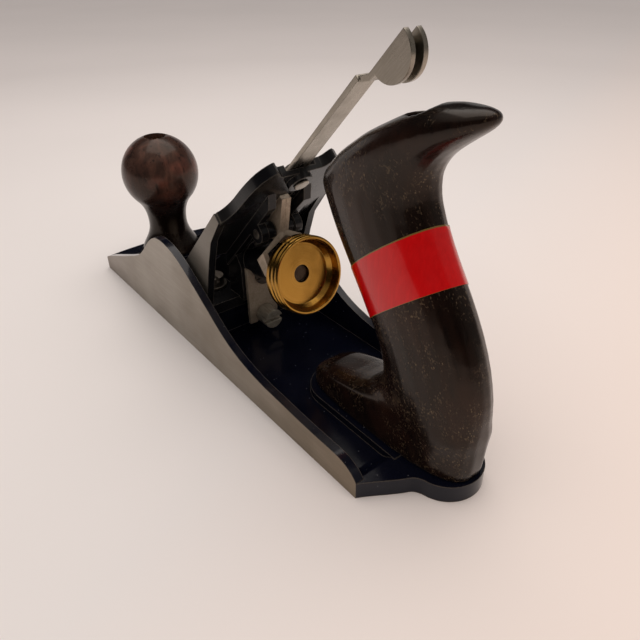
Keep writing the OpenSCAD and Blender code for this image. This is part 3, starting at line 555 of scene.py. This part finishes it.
def wood_finish(name, turn, stretch, patch, shade, heart, dusty, painted_shade_below=(-1.0, -0.9)):
    """Dark varnished hardwood: turn and stretch lay its grain, shade is its tone, heart its red
    wood in patches of size 1 / patch, and dusty is how much dust it holds.

    Below the two heights given last it is painted nearly black: painted shade, as on the knob's neck.
    """
    material, tree, shader, where = finish_of(name, {
        "Specular IOR Level": 0.28, "Specular Tint": (1, 0.82, 0.68, 1), "Coat Weight": 0.13,
        "Coat Roughness": 0.08})
    laid = place(tree, "Mapping", feed={"Vector": where, "Rotation": turn}).outputs[0]
    figured = place(tree, "Group", {"node_tree": grain}, {"Vector": laid, "Stretch": stretch}).outputs
    base = ramp(tree, figured["Value"], [(0.36, (shade * 0.4, shade * 0.22, shade * 0.18)),
                                         (0.5, (shade, shade * 0.48, shade * 0.35)),
                                         (0.64, (shade * 1.9, shade * 0.85, shade * 0.58))])
    red = cloud(tree, where, patch, 3.0)
    red = span(tree, red, 0.50, 0.66, 0.0, 0.8)
    base = mix(tree, maths(tree, "MULTIPLY", red, figured["Value"]), base, (*heart, 1))
    base = mix(tree, maths(tree, "MULTIPLY", figured["Pores"], 0.6), base, (0.003, 0.002, 0.002, 1))
    # painted shade: the colour goes nearly black below the given heights
    height = place(tree, "SeparateXYZ", feed={0: where}).outputs["Z"]
    above_painted_shade = span(tree, height, painted_shade_below[0], painted_shade_below[1])
    base = mix(tree, above_painted_shade, (0.004, 0.0016, 0.0012, 1), base)
    # dust caught in the pores, in short dashes that gather in clumps
    dashes = vectors(tree, "MULTIPLY", laid, (1, 1, 0.45))
    dust = use(tree, specks, {"Vector": dashes, "Scale": 1500.0, "Share": 0.34, "Size": 0.27})
    clumps = place(tree, "TexNoise", feed={"Vector": where, "Scale": 75.0, "Detail": 3.0, "Roughness": 0.6})
    gather = span(tree, clumps.outputs["Fac"], 0.42, 0.60)
    # the varnish is crazed: thin broken lines between the cells
    shaken = place(tree, "TexNoise", feed={"Vector": where, "Scale": 900.0, "Detail": 2.0})
    bent = place(tree, "VectorMath", {"operation": "MULTIPLY_ADD"},
                 {0: shaken.outputs["Color"], 1: (0.0012, 0.0012, 0.0012), 2: dashes}).outputs[0]
    crazed = place(tree, "TexVoronoi", {"feature": "DISTANCE_TO_EDGE"}, {"Vector": bent, "Scale": 620.0})
    crazed = span(tree, crazed.outputs["Distance"], 0.02, 0.09, 1.0, 0.0)
    broken = span(tree, shaken.outputs["Fac"], 0.50, 0.62)
    crazed = maths(tree, "MULTIPLY", maths(tree, "MULTIPLY", crazed, broken), 0.5)
    pale = maths(tree, "MULTIPLY", maths(tree, "ADD", maths(tree, "MULTIPLY", dust, 0.7), crazed, True),
                 maths(tree, "MULTIPLY", gather, dusty))
    worn = use(tree, edge_wear, {"Vector": where, "Width": 0.0009, "Gain": 3.0})
    base = mix(tree, maths(tree, "MULTIPLY", worn, 0.5), base, (0.10, 0.055, 0.035, 1))
    base = mix(tree, pale, base, (0.24, 0.165, 0.095, 1))
    tree.links.new(base, shader["Base Color"])
    shine = span(tree, clumps.outputs["Fac"], 0.3, 0.7, 0.20, 0.30)
    tree.links.new(maths(tree, "ADD", shine, maths(tree, "MULTIPLY", pale, 0.3)), shader["Roughness"])
    rough_grain = maths(tree, "SUBTRACT", maths(tree, "MULTIPLY", figured["Value"], 0.6), figured["Pores"])
    tree.links.new(relief(tree, rough_grain, 0.00005, 0.5), shader["Normal"])
    return material


# painted shade: the lower part of the knob is painted nearly black
knob_wood = wood_finish("knob_varnished_wood", turn=(0, 0, 0), stretch=(90, 90, 14), patch=60.0,
                        shade=0.050, heart=(0.24, 0.070, 0.045), dusty=0.10, painted_shade_below=(0.034, 0.058))
softened("knob", "knob_turned", "bed", knob_wood, round_off=0, corner=40)
softened("knob_rod", "knob_rod_plain", "bed", steel, round_off=0.0005)
softened("knob_nut", "knob_nut_slotted", "bed", brass, round_off=0.0006, steps=3)

# Tote
# Rear handle, sawn and rasped from the same hardwood, with its grain running up the
# grip. A rod and a round brass nut hold it, and red tape is wound round its waist.
GRAIN_LEAN = math.radians(-24)
VOXEL = 0.00065
tote = opened_copy("tote", "tote_handle")
bpy.ops.object.mode_set(mode="OBJECT")
grid = tote.modifiers.new("grid", "REMESH")
grid.mode = "VOXEL"
grid.voxel_size = VOXEL
bpy.ops.object.modifier_apply(modifier="grid")
sanded = tote.modifiers.new("sanded", "SMOOTH")
sanded.factor = 0.5
sanded.iterations = 4
bpy.ops.object.modifier_apply(modifier="sanded")
bpy.ops.object.shade_smooth()
tote.data.materials.clear()
tote_wood = wood_finish("tote_varnished_wood", turn=(0, GRAIN_LEAN, 0), stretch=(80, 80, 9), patch=42.0,
                        shade=0.006, heart=(0.026, 0.010, 0.006), dusty=0.55)
tote.data.materials.append(tote_wood)
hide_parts("tote")
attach(tote, "bed")

softened("tote_rod", "tote_rod_plain", "bed", steel, round_off=0.0005)
softened("tote_nut", "tote_nut_slotted", "bed", brass, round_off=0.0006, steps=3)

# the tape: glossy red vinyl, with a thin gold line along both edges
tape_finish, tree, shader, where = finish_of("red_tape", {"Specular IOR Level": 0.3, "Coat Weight": 0.4,
                                                          "Coat Roughness": 0.05})
TAPE_LOW = Vector((-84.0, 0, 55.9)) * MM
TAPE_UP = Vector((0.6264, -0.1321, 0.7682))
TAPE_WIDTH = 18.0 * MM
GOLD_LINE = 0.0003
LINE_FADE = 0.0002
along = vectors(tree, "SUBTRACT", where, TAPE_LOW)
along = toward(tree, along, TAPE_UP)
from_middle = maths(tree, "ABSOLUTE", maths(tree, "SUBTRACT", along, TAPE_WIDTH / 2))
line = span(tree, from_middle, TAPE_WIDTH / 2 - GOLD_LINE, TAPE_WIDTH / 2 - LINE_FADE)
weave = use(tree, scratches, {"Vector": where, "Stretch": (900, 900, 120)})
red = ramp(tree, weave, [(0.3, (0.48, 0.0, 0.001)), (0.6, (0.55, 0.001, 0.002)),
                         (0.85, (0.61, 0.003, 0.005))])
red = mix(tree, line, red, (0.16, 0.10, 0.025, 1))
tree.links.new(red, shader["Base Color"])
smear = cloud(tree, where, 90.0, 4.0)
tree.links.new(span(tree, smear, 0.3, 0.75, 0.14, 0.24),
               shader["Roughness"])
tree.links.new(relief(tree, weave, 0.00002, 0.25), shader["Normal"])
softened("tote_tape", "grip_tape", "bed", tape_finish, round_off=0, corner=40)
